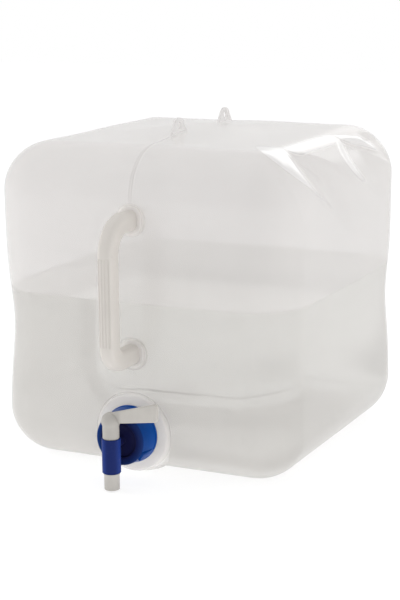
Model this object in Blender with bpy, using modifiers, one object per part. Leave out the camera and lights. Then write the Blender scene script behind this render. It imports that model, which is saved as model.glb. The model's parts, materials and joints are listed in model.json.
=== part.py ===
"""Collapsible 20-litre water container with a moulded-in handle and a drain tap on a screw cap.

Metres, +Z up. The origin is the middle of the flat underside, and the front wall, with the tap, faces -Y.
"Out" is the distance in front of the front wall's plane, along -Y.
"""

import math

import bmesh
import bpy
from mathutils import Matrix, Vector

# Vessel: one blow-moulded shell of soft polyethylene
VESSEL_WIDTH = 0.280
VESSEL_DEPTH = 0.284
VESSEL_HEIGHT = 0.277
EDGE_RADIUS = 0.044
VESSEL_WALL = 0.0012
PINCH_DEPTH = 0.0055
PINCH_HEIGHT = 0.122
PINCH_SPREAD = 0.040
CROWN_HEIGHT = 0.0065
CROWN_REACH_ACROSS = 0.110
CROWN_REACH_ALONG = 0.120
BEAD_HEIGHT = 0.0006
BEAD_WIDTH = 0.0024
EDGE_STEPS = 6
WALL_BAYS = 6

# Collar and neck, low on the front wall
NECK_AXIS_HEIGHT = 0.0390
NECK_RADIUS = 0.0194
NECK_WALL = 0.0024
NECK_LENGTH = 0.0174
COLLAR_RADIUS = 0.0335
COLLAR_STAND = 0.0025
COLLAR_EDGE = 0.0020
COLLAR_DRAFT = 0.0049
COLLAR_DRAFT_DEPTH = 0.0180
COLLAR_DEPTH = 0.0400

# Hanging tabs on the parting line of the top
TAB_SPACING = 0.094
TAB_SHIFT = -0.003
TAB_WIDTH = 0.0304
TAB_RISE = 0.0175
TAB_THICKNESS = 0.0024
TAB_HOLE_RADIUS = 0.0032
TAB_HOLE_DROP = 0.0068
TAB_HEAD_RADIUS = 0.0102

# Carrying handle, a C-shaped bar with a T-head on each foot and grooves along the front of its grip
HANDLE_FOOT_SPACING = 0.109
HANDLE_FOOT_HEIGHT = 0.1085
HANDLE_THICKNESS = 0.0135
HANDLE_BAR = 0.017
HANDLE_FINGER_ROOM = 0.0290
HANDLE_TOP_BEND = 0.016
HANDLE_LOW_BEND = 0.007
HANDLE_ROUNDING = 0.0048
FLUTE_COUNT = 4
FLUTE_SPACING = 0.0028
FLUTE_RADIUS = 0.0008
FLUTE_DEPTH = 0.0004
FOOT_HEAD_LIP = 0.0018
FOOT_HEAD_THICKNESS = 0.0035
FOOT_HEAD_ROUNDING = 0.0005
SOCKET_LIP = 0.0030
SOCKET_STAND = 0.0012
SOCKET_RIM = 0.0016
SOCKET_WALL = 0.0012

# Screw cap, tapering to the front, with one flat lug to turn it by
CAP_WALL = 0.0019
CAP_FACE = 0.0025
CAP_EDGE = 0.0022
CAP_REAR_GAP = 0.0010
CAP_TAPER = 0.0020
THREAD_ROOM = 0.0027
SKIRT_RING_STEP = 0.0005
SKIRT_RING_LENGTH = 0.0030
LUG_WIDTH = 0.0080
LUG_HEIGHT = 0.0018
LUG_TURN = math.radians(-34)

# Tap body, with a flange clamped by the cap
GASKET_THICKNESS = 0.0018
FLANGE_THICKNESS = 0.0025
HUB_RADIUS = 0.0150
HUB_SINK = 0.0022
SPIGOT_LENGTH = 0.0050
SHANK_RADIUS = 0.0047
SHANK_BORE_RADIUS = 0.0031
SLEEVE_WALL = 0.0011
SLEEVE_GAP = 0.0059
SLEEVE_RISE = 0.0056
SLEEVE_DROP = 0.0237
SLEEVE_CHAMFER = 0.0006

# Tap plug, with its lever and nozzle
PLUG_RADIUS = 0.0064
PLUG_BORE_RADIUS = 0.0046
PLUG_BORE_HEADROOM = 0.0006
PLUG_SNAP_HEIGHT = 0.0005
NOZZLE_LENGTH = 0.0141
HEAD_NECK_RADIUS = 0.0069
HEAD_BALL_RADIUS = 0.0078
HEAD_BALL_RISE = 0.0142
LEVER_LENGTH = 0.0434
LEVER_THICKNESS = 0.0042
LEVER_ROOT_HEIGHT = 0.0080
LEVER_ROOT_DROP = 0.0007
LEVER_TIP_HEIGHT = 0.0150
LEVER_TIP_RISE = 0.0039
LEVER_CORNER = 0.0025
LEVER_FILLET = 0.0015
LEVER_ROUNDING = 0.0012

# Clearance between pieces that touch or run on each other
FIT = 0.0003
ROUND_STEPS = 32
CUT_MARGIN = 0.004

# Places worked out from the sizes above
FRONT = -VESSEL_DEPTH / 2
NECK_BORE_RADIUS = NECK_RADIUS - NECK_WALL
GASKET_BACK = NECK_LENGTH + FIT
FLANGE_BACK = GASKET_BACK + GASKET_THICKNESS + FIT
FLANGE_FRONT = FLANGE_BACK + FLANGE_THICKNESS
CAP_SHOULDER = FLANGE_FRONT + FIT
CAP_FRONT = CAP_SHOULDER + CAP_FACE
CAP_BACK = COLLAR_STAND + CAP_REAR_GAP
CAP_INNER_RADIUS = NECK_RADIUS + THREAD_ROOM
CAP_RADIUS = CAP_INNER_RADIUS + CAP_WALL
SLEEVE_BORE_RADIUS = PLUG_RADIUS + FIT
SLEEVE_RADIUS = SLEEVE_BORE_RADIUS + SLEEVE_WALL
SLEEVE_AXIS_OUT = CAP_FRONT + SLEEVE_GAP + SLEEVE_RADIUS
FOOT_HEAD_FRONT = SOCKET_STAND - SOCKET_LIP - FIT
FOOT_HEAD_BACK = FOOT_HEAD_FRONT - FOOT_HEAD_THICKNESS

PARTS = "water_container"
HELPERS = "water_container_helpers"


def clear_scene():
    for obj in list(bpy.data.objects):
        bpy.data.objects.remove(obj, do_unlink=True)
    for collection in list(bpy.data.collections):
        bpy.data.collections.remove(collection)
    for name in (PARTS, HELPERS):
        bpy.context.scene.collection.children.link(bpy.data.collections.new(name))


def plain_material(name, colour, roughness, metallic=0.0):
    material = bpy.data.materials.new(name)
    material.use_nodes = True
    shader = material.node_tree.nodes["Principled BSDF"]
    shader.inputs["Base Color"].default_value = (*colour, 1.0)
    shader.inputs["Roughness"].default_value = roughness
    shader.inputs["Metallic"].default_value = metallic
    return material


def add_object(name, data, helper=False):
    obj = bpy.data.objects.new(name, data)
    bpy.data.collections[HELPERS if helper else PARTS].objects.link(obj)
    if helper:
        obj.hide_render = True
        obj.display_type = "WIRE"
    return obj


def finish_part(obj, material):
    obj.data.materials.clear()
    obj.data.materials.append(material)
    obj.data.shade_smooth()
    obj.data.set_sharp_from_angle(angle=math.radians(35))
    return obj


def boolean(obj, other, operation, solver="EXACT"):
    """Joins or cuts a piece. Thin walls that meet at glancing angles take MANIFOLD: EXACT leaves gaps there."""
    modifier = obj.modifiers.new(f"{operation.lower()}_{other.name}", "BOOLEAN")
    modifier.operation = operation
    modifier.object = other
    modifier.solver = solver


def at_neck(obj):
    """Turns a piece's own +Z outward and puts it on the neck's axis, at the front wall's plane."""
    obj.location = (0, FRONT, NECK_AXIS_HEIGHT)
    obj.rotation_euler = (math.pi / 2, 0, 0)
    return obj


def at_sleeve(obj):
    """Puts an upright piece on the axis of the tap's sleeve, at the height of the neck's axis."""
    obj.location = (0, FRONT - SLEEVE_AXIS_OUT, NECK_AXIS_HEIGHT)
    return obj


def arc(centre, radius, start, end, steps):
    """Points on an arc about centre, from one angle in degrees to another."""
    angles = [math.radians(start + (end - start) * i / steps) for i in range(steps + 1)]
    return [(centre[0] + radius * math.cos(a), centre[1] + radius * math.sin(a)) for a in angles]


def turned(name, profile, closed, helper=False, steps=ROUND_STEPS):
    """A turned shape from (radius, height) points that run down its outer side."""
    mesh = bpy.data.meshes.new(name)
    edges = [(i, i + 1) for i in range(len(profile) - 1)]
    if closed:
        edges.append((len(profile) - 1, 0))
    mesh.from_pydata([(radius, 0, height) for radius, height in profile], edges, [])
    obj = add_object(name, mesh, helper)
    screw = obj.modifiers.new("turn", "SCREW")
    screw.steps = steps
    screw.render_steps = steps
    screw.use_merge_vertices = True
    screw.merge_threshold = 0.00001
    return obj


def rod(name, radius, bottom, top, helper=True, steps=ROUND_STEPS):
    """A plain round bar along its own Z."""
    return turned(name, [(0, top), (radius, top), (radius, bottom), (0, bottom)], False, helper, steps)


def plate(name, outlines, thickness, rounding=0.0, helper=False):
    """A flat plate in its own XY plane from closed outlines, with rounded edges, as one welded mesh."""
    curve = bpy.data.curves.new(name, "CURVE")
    curve.dimensions = "2D"
    curve.fill_mode = "BOTH"
    curve.extrude = thickness / 2 - rounding
    curve.bevel_depth = rounding
    curve.bevel_resolution = 1
    curve.offset = -rounding
    for outline in outlines:
        spline = curve.splines.new("POLY")
        spline.points.add(len(outline) - 1)
        for point, (x, y) in zip(spline.points, outline):
            point.co = (x, y, 0, 1)
        spline.use_cyclic_u = True
    source = bpy.data.objects.new(name + "_outline", curve)
    bpy.context.scene.collection.objects.link(source)
    graph = bpy.context.evaluated_depsgraph_get()
    mesh = bpy.data.meshes.new_from_object(source.evaluated_get(graph))
    bpy.data.objects.remove(source, do_unlink=True)
    bm = bmesh.new()
    bm.from_mesh(mesh)
    bmesh.ops.remove_doubles(bm, verts=bm.verts, dist=0.00001)
    bmesh.ops.recalc_face_normals(bm, faces=bm.faces)
    bm.to_mesh(mesh)
    bm.free()
    return add_object(name, mesh, helper)


def block(name, half_sizes, centre, rounding, steps=3):
    """A helper block with rounded edges, its sizes applied before the bevel."""
    mesh = bpy.data.meshes.new(name)
    bm = bmesh.new()
    bmesh.ops.create_cube(bm, size=2, matrix=Matrix.Diagonal((*half_sizes, 1)))
    bmesh.ops.bevel(
        bm,
        geom=bm.edges[:],
        offset=rounding,
        offset_type="OFFSET",
        segments=steps,
        profile=0.5,
        affect="EDGES",
    )
    bmesh.ops.translate(bm, vec=centre, verts=bm.verts)
    bm.to_mesh(mesh)
    bm.free()
    return add_object(name, mesh, helper=True)


def crown(x, y):
    """How far the soft top bulges over a point of it: most in its middle and nothing at its edges."""
    rise = CROWN_HEIGHT
    for place, reach in ((x, CROWN_REACH_ACROSS), (y, CROWN_REACH_ALONG)):
        rise *= math.cos(min(abs(place) / reach, 1) * math.pi / 2) ** 2
    return rise


def slackened(point):
    """Where a point of the moulding lies once its upright edges have drawn in and its top has bulged."""
    across = (2 * point.x / VESSEL_WIDTH) ** 2 * (2 * point.y / VESSEL_DEPTH) ** 2
    draw = PINCH_DEPTH * across * math.exp(-(((point.z - PINCH_HEIGHT) / PINCH_SPREAD) ** 2))
    rise = crown(point.x, point.y) if point.z > VESSEL_HEIGHT / 2 else 0
    draw_in = Vector((math.copysign(draw, point.x), math.copysign(draw, point.y), 0))
    return point - draw_in + Vector((0, 0, rise))


def beaded(point):
    """Lifts a point of the parting line into a fine bead, except on the underside and inside the collar."""
    flat_y = VESSEL_DEPTH / 2 - EDGE_RADIUS
    low, high = EDGE_RADIUS, VESSEL_HEIGHT - EDGE_RADIUS
    nearest = Vector((0, min(max(point.y, -flat_y), flat_y), min(max(point.z, low), high)))
    outward = point - nearest
    on_front = point.y < -flat_y and point.z < NECK_AXIS_HEIGHT + COLLAR_RADIUS
    on_underside = point.z < EDGE_RADIUS / 2
    if on_front or on_underside or outward.length == 0:
        return point
    return point + outward.normalized() * BEAD_HEIGHT


def vessel_block(name, inset, helper):
    """The vessel's rounded block, set in from its outer faces and split into bays so that it can slacken."""
    half = (VESSEL_WIDTH / 2 - inset, VESSEL_DEPTH / 2 - inset, VESSEL_HEIGHT / 2 - inset)
    radius = EDGE_RADIUS - inset
    mesh = bpy.data.meshes.new(name)
    bm = bmesh.new()
    bmesh.ops.create_cube(bm, size=2, matrix=Matrix.Diagonal((*half, 1)))
    bmesh.ops.bevel(
        bm,
        geom=bm.edges[:],
        offset=radius,
        offset_type="OFFSET",
        segments=EDGE_STEPS,
        profile=0.5,
        affect="EDGES",
    )
    for axis in range(3):
        normal = Vector((axis == 0, axis == 1, axis == 2))
        reach = half[axis] - radius
        places = [reach * (2 * i / WALL_BAYS - 1) for i in range(1, WALL_BAYS)]
        if axis == 0 and not helper:
            places += [-BEAD_WIDTH / 2, BEAD_WIDTH / 2]
        for place in places:
            geometry = bm.verts[:] + bm.edges[:] + bm.faces[:]
            bmesh.ops.bisect_plane(bm, geom=geometry, dist=0.000001, plane_co=normal * place, plane_no=normal)
    bmesh.ops.translate(bm, vec=(0, 0, VESSEL_HEIGHT / 2), verts=bm.verts)
    for vertex in bm.verts:
        if abs(vertex.co.x) < 0.00001 and not helper:
            vertex.co = beaded(vertex.co)
        vertex.co = slackened(vertex.co)
    bm.to_mesh(mesh)
    bm.free()
    return add_object(name, mesh, helper)


def tab_outline(y):
    """One hanging tab seen from the side: a tongue that follows the crown below, a round head and a hole."""
    places = [TAB_WIDTH * (i / 4 - 0.5) for i in range(5)]
    tongue = [(place, crown(0, y + place) - VESSEL_WALL / 2) for place in places]
    tongue += arc((0, TAB_RISE - TAB_HEAD_RADIUS), TAB_HEAD_RADIUS, 25, 155, 12)
    hole = arc((0, TAB_RISE - TAB_HOLE_DROP), TAB_HOLE_RADIUS, 0, 345, 23)
    return [tongue, hole]


def make_tab(name, y):
    tab = plate(name, tab_outline(y), TAB_THICKNESS, helper=True)
    tab.rotation_euler = (math.pi / 2, 0, math.pi / 2)
    tab.location = (0, y, VESSEL_HEIGHT)
    return tab


def handle_outline(clearance):
    """The handle's bar seen from the side as (out, height) points, grown by a clearance.

    It runs along the lower arm, up the outside of the grip, along the upper arm and back inside the grip.
    """
    bar = HANDLE_BAR / 2 + clearance
    low = HANDLE_FOOT_HEIGHT
    high = low + HANDLE_FOOT_SPACING
    inner = HANDLE_FINGER_ROOM - clearance
    outer = HANDLE_FINGER_ROOM + HANDLE_BAR + clearance
    low_in, low_out = HANDLE_LOW_BEND - clearance, HANDLE_LOW_BEND + HANDLE_BAR + clearance
    top_in, top_out = HANDLE_TOP_BEND - clearance, HANDLE_TOP_BEND + HANDLE_BAR + clearance
    end = FOOT_HEAD_BACK - clearance
    points = arc((outer - low_out, low - bar + low_out), low_out, -90, 0, 8)
    points += arc((outer - top_out, high + bar - top_out), top_out, 0, 90, 8)
    points += [(end, high + bar), (end, high - bar)]
    points += arc((inner - top_in, high - bar - top_in), top_in, 90, 0, 6)
    points += arc((inner - low_in, low + bar + low_in), low_in, 0, -90, 6)
    points += [(end, low + bar), (end, low - bar)]
    return points


def stand_upright(obj):
    """Turns a plate drawn as (out, height) so that out points to -Y and the plate is centred on x = 0."""
    obj.matrix_world = Matrix(((0, 0, -1, 0), (-1, 0, 0, FRONT), (0, 1, 0, 0), (0, 0, 0, 1)))
    return obj


def rounded_rectangle(half_width, half_height, corner, steps=5):
    """The outline of a rectangle with round corners, about the origin."""
    points = []
    for side_x, side_y, start in ((1, 1, 0), (-1, 1, 90), (-1, -1, 180), (1, -1, 270)):
        centre = (side_x * (half_width - corner), side_y * (half_height - corner))
        points += arc(centre, corner, start, start + 90, steps)
    return points


def foot_plates(name, grown, back, front, rounding):
    """A pair of flat lozenges, one on each foot of the handle, larger than its bar by grown all round."""
    half_width = HANDLE_THICKNESS / 2 + grown
    half_height = HANDLE_BAR / 2 + grown
    outline = rounded_rectangle(half_width, half_height, HANDLE_ROUNDING + grown)
    plates = []
    for place, height in (("low", HANDLE_FOOT_HEIGHT), ("high", HANDLE_FOOT_HEIGHT + HANDLE_FOOT_SPACING)):
        lozenge = plate(f"{place}_{name}", [outline], front - back, rounding, helper=True)
        lozenge.rotation_euler = (math.pi / 2, 0, 0)
        lozenge.location = (0, FRONT - (front + back) / 2, height)
        plates.append(lozenge)
    return plates


def collar_profile(inset):
    """Half of the collar's section, set in from its outer faces: a drafted cone with a rounded front edge."""
    front, radius = COLLAR_STAND - inset, COLLAR_RADIUS - inset
    back = -COLLAR_DEPTH - 2 * inset
    edge = COLLAR_EDGE - inset if inset < COLLAR_EDGE else 0
    return [
        (0, front),
        (radius - edge, front),
        (radius, front - edge),
        (radius + COLLAR_DRAFT, front - edge - COLLAR_DRAFT_DEPTH),
        (radius + COLLAR_DRAFT, back),
        (0, back),
    ]


def make_vessel():
    vessel = vessel_block("vessel", 0, helper=False)
    collar = turned("collar_outside", collar_profile(0), False, helper=True, steps=40)
    neck = rod("neck_outside", NECK_RADIUS, 0, NECK_LENGTH)
    cavity = vessel_block("cavity", VESSEL_WALL, helper=True)
    collar_inside = turned("collar_inside", collar_profile(VESSEL_WALL), False, helper=True, steps=40)
    bore = rod("neck_bore", NECK_BORE_RADIUS, -CUT_MARGIN, NECK_LENGTH + CUT_MARGIN)
    for obj in (collar, neck, collar_inside, bore):
        at_neck(obj)
    for obj in (collar, neck):
        boolean(vessel, obj, "UNION", "MANIFOLD")
    for obj in (cavity, collar_inside, bore):
        boolean(vessel, obj, "DIFFERENCE", "MANIFOLD")
    socket_grown = FOOT_HEAD_LIP + FIT + SOCKET_RIM
    socket_back = FOOT_HEAD_BACK - FIT - SOCKET_WALL
    for socket in foot_plates("socket", socket_grown, socket_back, SOCKET_STAND, SOCKET_WALL):
        boolean(vessel, socket, "UNION", "MANIFOLD")
    for recess in foot_plates("recess", FOOT_HEAD_LIP + FIT, FOOT_HEAD_BACK - FIT, FOOT_HEAD_FRONT + FIT, 0):
        boolean(vessel, recess, "DIFFERENCE", "MANIFOLD")
    pocket_thickness = HANDLE_THICKNESS + 2 * FIT
    pocket = plate("pocket", [handle_outline(FIT)], pocket_thickness, HANDLE_ROUNDING + FIT, helper=True)
    boolean(vessel, stand_upright(pocket), "DIFFERENCE", "MANIFOLD")
    for name, y in (("front_tab", TAB_SHIFT - TAB_SPACING / 2), ("rear_tab", TAB_SHIFT + TAB_SPACING / 2)):
        boolean(vessel, make_tab(name, y), "UNION", "MANIFOLD")
    return vessel


def make_handle():
    """A round-edged C-shaped bar with a flat head on each foot, and grooves along the front of its grip."""
    handle = stand_upright(plate("carry_handle", [handle_outline(0)], HANDLE_THICKNESS, HANDLE_ROUNDING))
    for head in foot_plates("foot_head", FOOT_HEAD_LIP, FOOT_HEAD_BACK, FOOT_HEAD_FRONT, FOOT_HEAD_ROUNDING):
        boolean(handle, head, "UNION", "MANIFOLD")
    low = HANDLE_FOOT_HEIGHT + HANDLE_BAR / 2 + HANDLE_LOW_BEND
    high = HANDLE_FOOT_HEIGHT + HANDLE_FOOT_SPACING - HANDLE_BAR / 2 - HANDLE_TOP_BEND
    flat = HANDLE_THICKNESS / 2 - HANDLE_ROUNDING
    for i in range(FLUTE_COUNT):
        across = FLUTE_SPACING * (i - (FLUTE_COUNT - 1) / 2)
        past_flat = min(max(abs(across) - flat, 0), HANDLE_ROUNDING)
        dip = HANDLE_ROUNDING - math.sqrt(HANDLE_ROUNDING**2 - past_flat**2)
        groove_out = HANDLE_FINGER_ROOM + HANDLE_BAR - dip + FLUTE_RADIUS - FLUTE_DEPTH
        flute = rod(f"flute_{i + 1}", FLUTE_RADIUS, low, high, steps=10)
        flute.location = (across, FRONT - groove_out, 0)
        boolean(handle, flute, "DIFFERENCE", "MANIFOLD")
    return handle


def make_cap():
    """A union cap: a tapered skirt with a rear ring, a rounded front edge and a mouth for the tap's hub."""
    mouth = HUB_RADIUS + FIT
    ring_front = CAP_BACK + SKIRT_RING_LENGTH
    front_radius = CAP_RADIUS - CAP_TAPER
    profile = [(mouth, CAP_FRONT)]
    profile += arc((front_radius - CAP_EDGE, CAP_FRONT - CAP_EDGE), CAP_EDGE, 90, 0, 4)
    profile += [
        (CAP_RADIUS, ring_front + SKIRT_RING_STEP),
        (CAP_RADIUS + SKIRT_RING_STEP, ring_front),
        (CAP_RADIUS + SKIRT_RING_STEP, CAP_BACK),
        (CAP_INNER_RADIUS, CAP_BACK),
        (CAP_INNER_RADIUS - CAP_TAPER, CAP_SHOULDER),
        (mouth, CAP_SHOULDER),
    ]
    cap = at_neck(turned("screw_cap", profile, True, steps=48))
    lug_back, lug_front = ring_front - SKIRT_RING_STEP, CAP_FRONT - CAP_EDGE
    lug_outside = front_radius + LUG_HEIGHT
    lug_inside = CAP_INNER_RADIUS + CAP_WALL / 4
    half = ((lug_outside - lug_inside) / 2, LUG_WIDTH / 2, (lug_front - lug_back) / 2)
    centre = ((lug_outside + lug_inside) / 2, 0, (lug_front + lug_back) / 2)
    lug = at_neck(block("turning_lug", half, centre, LUG_HEIGHT / 4, steps=1))
    lug.rotation_mode = "QUATERNION"
    turn = Matrix.Rotation(math.pi / 2, 3, "X") @ Matrix.Rotation(LUG_TURN, 3, "Z")
    lug.rotation_quaternion = turn.to_quaternion()
    boolean(cap, lug, "UNION", "MANIFOLD")
    return cap


def make_gasket():
    inner, outer = NECK_BORE_RADIUS, NECK_RADIUS
    front = GASKET_BACK + GASKET_THICKNESS
    profile = [(outer, front), (outer, GASKET_BACK), (inner, GASKET_BACK), (inner, front)]
    return at_neck(turned("flange_gasket", profile, True))


def make_tap_body():
    """Flange, hub and shank turned on the neck's axis, with the upright sleeve and both waterways."""
    spigot = NECK_BORE_RADIUS - FIT
    spigot_back = FLANGE_BACK - SPIGOT_LENGTH
    hub_front = CAP_FRONT - HUB_SINK
    shank_end = SLEEVE_AXIS_OUT - SLEEVE_BORE_RADIUS / 2
    waterway_end = SLEEVE_AXIS_OUT - SLEEVE_BORE_RADIUS / 4
    profile = [
        (0, shank_end),
        (SHANK_RADIUS, shank_end),
        (SHANK_RADIUS, hub_front),
        (HUB_RADIUS, hub_front),
        (HUB_RADIUS, FLANGE_FRONT),
        (NECK_RADIUS, FLANGE_FRONT),
        (NECK_RADIUS, FLANGE_BACK),
        (spigot, FLANGE_BACK),
        (spigot, spigot_back),
        (spigot - SLEEVE_WALL, spigot_back),
        (SHANK_RADIUS, FLANGE_BACK),
        (0, FLANGE_BACK),
    ]
    body = at_neck(turned("tap_body", profile, False))
    sleeve_profile = [
        (0, SLEEVE_RISE),
        (SLEEVE_RADIUS, SLEEVE_RISE),
        (SLEEVE_RADIUS, SLEEVE_CHAMFER - SLEEVE_DROP),
        (SLEEVE_RADIUS - SLEEVE_CHAMFER, -SLEEVE_DROP),
        (0, -SLEEVE_DROP),
    ]
    sleeve = at_sleeve(turned("sleeve_outside", sleeve_profile, False, helper=True))
    sleeve_bore = rod("sleeve_bore", SLEEVE_BORE_RADIUS, -SLEEVE_DROP - CUT_MARGIN, SLEEVE_RISE + CUT_MARGIN)
    waterway = rod("shank_bore", SHANK_BORE_RADIUS, FLANGE_BACK - CUT_MARGIN, waterway_end)
    boolean(body, sleeve, "UNION", "MANIFOLD")
    boolean(body, at_sleeve(sleeve_bore), "DIFFERENCE", "MANIFOLD")
    boolean(body, at_neck(waterway), "DIFFERENCE", "MANIFOLD")
    return body


def lever_outline():
    """The lever seen from the front, from inside the head to its taller, raised tip."""
    ball = SLEEVE_RISE + FIT + HEAD_BALL_RISE
    root_low, tip_low = ball - LEVER_ROOT_DROP, ball + LEVER_TIP_RISE
    root_top, tip_top = root_low + LEVER_ROOT_HEIGHT, tip_low + LEVER_TIP_HEIGHT
    outline = [(0, root_low - LEVER_FILLET), (HEAD_NECK_RADIUS, root_low - LEVER_FILLET)]
    outline += arc((HEAD_NECK_RADIUS + LEVER_FILLET, root_low - LEVER_FILLET), LEVER_FILLET, 150, 90, 3)
    outline += arc((LEVER_LENGTH - LEVER_CORNER, tip_low + LEVER_CORNER), LEVER_CORNER, -90, 0, 4)
    outline += arc((LEVER_LENGTH - LEVER_CORNER, tip_top - LEVER_CORNER), LEVER_CORNER, 0, 90, 4)
    outline += [(0, root_top)]
    return outline


def make_plug():
    """The turning plug: ball head, barrel with a snap bead under the sleeve, open nozzle and side port."""
    seat = SLEEVE_RISE + FIT
    ball = seat + HEAD_BALL_RISE
    end = -SLEEVE_DROP - NOZZLE_LENGTH
    bead = -SLEEVE_DROP - FIT
    waterway_top = SHANK_BORE_RADIUS + PLUG_BORE_HEADROOM
    profile = arc((0, ball), HEAD_BALL_RADIUS, 90, -30, 9)
    profile[0] = (0, ball + HEAD_BALL_RADIUS)
    profile += [
        (HEAD_NECK_RADIUS, ball - HEAD_BALL_RADIUS),
        (HEAD_NECK_RADIUS, seat),
        (PLUG_RADIUS, seat),
        (PLUG_RADIUS, bead),
        (PLUG_RADIUS + PLUG_SNAP_HEIGHT, bead),
        (PLUG_RADIUS + PLUG_SNAP_HEIGHT, bead - PLUG_SNAP_HEIGHT),
        (PLUG_RADIUS, bead - 3 * PLUG_SNAP_HEIGHT),
        (PLUG_RADIUS, end),
        (PLUG_BORE_RADIUS, end),
        (PLUG_BORE_RADIUS, waterway_top),
        (0, waterway_top),
    ]
    plug = at_sleeve(turned("tap_plug", profile, False))
    lever = plate("lever", [lever_outline()], LEVER_THICKNESS, LEVER_ROUNDING, helper=True)
    at_sleeve(lever).rotation_euler = (math.pi / 2, 0, 0)
    port = at_sleeve(rod("plug_port", SHANK_BORE_RADIUS, 0, PLUG_RADIUS + CUT_MARGIN, steps=20))
    port.rotation_euler = (0, -math.pi / 2, 0)
    boolean(plug, lever, "UNION")
    boolean(plug, port, "DIFFERENCE")
    return plug


def main():
    clear_scene()
    milky = plain_material("milky_polyethylene", (0.80, 0.80, 0.78), 0.35)
    white = plain_material("white_polyethylene", (0.74, 0.72, 0.69), 0.42)
    blue = plain_material("blue_polypropylene", (0.012, 0.062, 0.270), 0.32)
    rubber = plain_material("seal_rubber", (0.62, 0.62, 0.60), 0.75)
    finish_part(make_vessel(), milky)
    finish_part(make_handle(), white)
    finish_part(make_cap(), blue)
    finish_part(make_gasket(), rubber)
    finish_part(make_tap_body(), blue)
    finish_part(make_plug(), white)


main()
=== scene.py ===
"""Looks of a collapsible water container: a milky, half-full vessel, its handle and its drain tap.

Metres, +Z up, the front wall with the tap facing -Y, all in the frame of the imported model.
"Out" is the distance in front of the front wall's plane, along -Y.
"""

import json
import math
from contextlib import contextmanager
from functools import partial

import bmesh
import bpy
from bpy.props import FloatProperty, FloatVectorProperty, IntProperty, PointerProperty
from mathutils import Matrix, Vector


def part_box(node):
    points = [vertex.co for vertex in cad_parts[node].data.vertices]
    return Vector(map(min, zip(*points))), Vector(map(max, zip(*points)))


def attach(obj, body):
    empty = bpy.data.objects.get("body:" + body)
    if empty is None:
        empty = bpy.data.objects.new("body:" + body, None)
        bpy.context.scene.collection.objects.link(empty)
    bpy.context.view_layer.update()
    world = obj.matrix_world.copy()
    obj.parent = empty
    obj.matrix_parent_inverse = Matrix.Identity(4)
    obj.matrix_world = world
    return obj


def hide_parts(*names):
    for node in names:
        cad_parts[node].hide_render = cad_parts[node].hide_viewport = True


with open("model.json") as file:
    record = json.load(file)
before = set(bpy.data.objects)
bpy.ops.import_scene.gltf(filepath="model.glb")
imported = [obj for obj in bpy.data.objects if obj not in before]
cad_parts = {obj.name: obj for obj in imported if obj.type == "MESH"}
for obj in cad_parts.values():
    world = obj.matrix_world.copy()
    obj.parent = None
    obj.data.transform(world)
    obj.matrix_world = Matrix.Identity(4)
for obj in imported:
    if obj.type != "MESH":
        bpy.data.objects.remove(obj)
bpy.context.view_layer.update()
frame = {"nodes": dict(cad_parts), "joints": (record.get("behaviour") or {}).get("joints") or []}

bl_info = {
    "name": "Water Container Looks",
    "version": (1, 0, 0),
    "blender": (4, 5, 0),
    "location": "View3D > Sidebar > Water Container",
    "description": "Builds the milky vessel, its water, handle, cap and drain tap around the packed model",
    "category": "Object",
}

VESSEL_LOW, VESSEL_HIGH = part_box("vessel")
CAP_LOW, CAP_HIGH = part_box("screw_cap")
GASKET_LOW, GASKET_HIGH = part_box("flange_gasket")
HANDLE_LOW, HANDLE_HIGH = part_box("carry_handle")
TAP_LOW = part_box("tap_body")[0]
PLUG_LOW, PLUG_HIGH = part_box("tap_plug")
JOINTS = {joint["name"]: joint for joint in frame["joints"]}
NECK_AXIS = Vector(JOINTS["cap_turn"]["pos_m"])
SLEEVE_AXIS = Vector(JOINTS["plug_turn"]["pos_m"])
FRONT = NECK_AXIS.y
# The gap of a fit, the distance at which points are welded, and how far a cutter runs past what it cuts
FIT = 0.0003
WELD = 0.000005
OVERCUT = 0.004
THREAD_PITCH = 0.005
# Turns a piece's own +Z outward, to -Y
OUTWARD = Matrix.Rotation(math.pi / 2, 4, "X")

# The vessel's small forms
TAB_RISE = 0.0175
TOP = VESSEL_HIGH.z - TAB_RISE
CROWN_HEIGHT = 0.0065
CROWN_REACH = (0.110, 0.120)
BEAD_HEIGHT = 0.00015
BEAD_WIDTH = 0.0030
NECK_RADIUS = (GASKET_HIGH.x - GASKET_LOW.x) / 2
NECK_WALL = 0.0024
NECK_LENGTH = FRONT - VESSEL_LOW.y
COLLAR_RADIUS = 0.0335
COLLAR_STAND = 0.0025
COLLAR_EDGE = 0.0022
COLLAR_DRAFT = 0.0049
COLLAR_DRAFT_DEPTH = 0.0180
COLLAR_DEPTH = 0.0400
TAB_PLACES = (-0.050, 0.044)
TAB_WIDTH = 0.0304
TAB_THICKNESS = 0.0024
TAB_HOLE_RADIUS = 0.0032
TAB_HOLE_DROP = 0.0068
TAB_HEAD_RADIUS = 0.0102

# The handle and its sockets
HANDLE_BAR = 0.017
HANDLE_THICKNESS = 0.0135
HANDLE_ROUNDING = 0.0048
HANDLE_TOP_BEND = 0.016
HANDLE_LOW_BEND = 0.007
HANDLE_REACH = FRONT - HANDLE_LOW.y
HANDLE_FEET = (HANDLE_LOW.z + HANDLE_BAR / 2, HANDLE_HIGH.z - HANDLE_BAR / 2)
HANDLE_END = FRONT - HANDLE_HIGH.y
FOOT_HEAD_LIP = 0.0018
FOOT_HEAD_THICKNESS = 0.0035
FOOT_HEAD_ROUNDING = 0.0005
SOCKET_STAND = 0.0005
SOCKET_RIM = 0.0016
SOCKET_WALL = 0.0012

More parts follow.
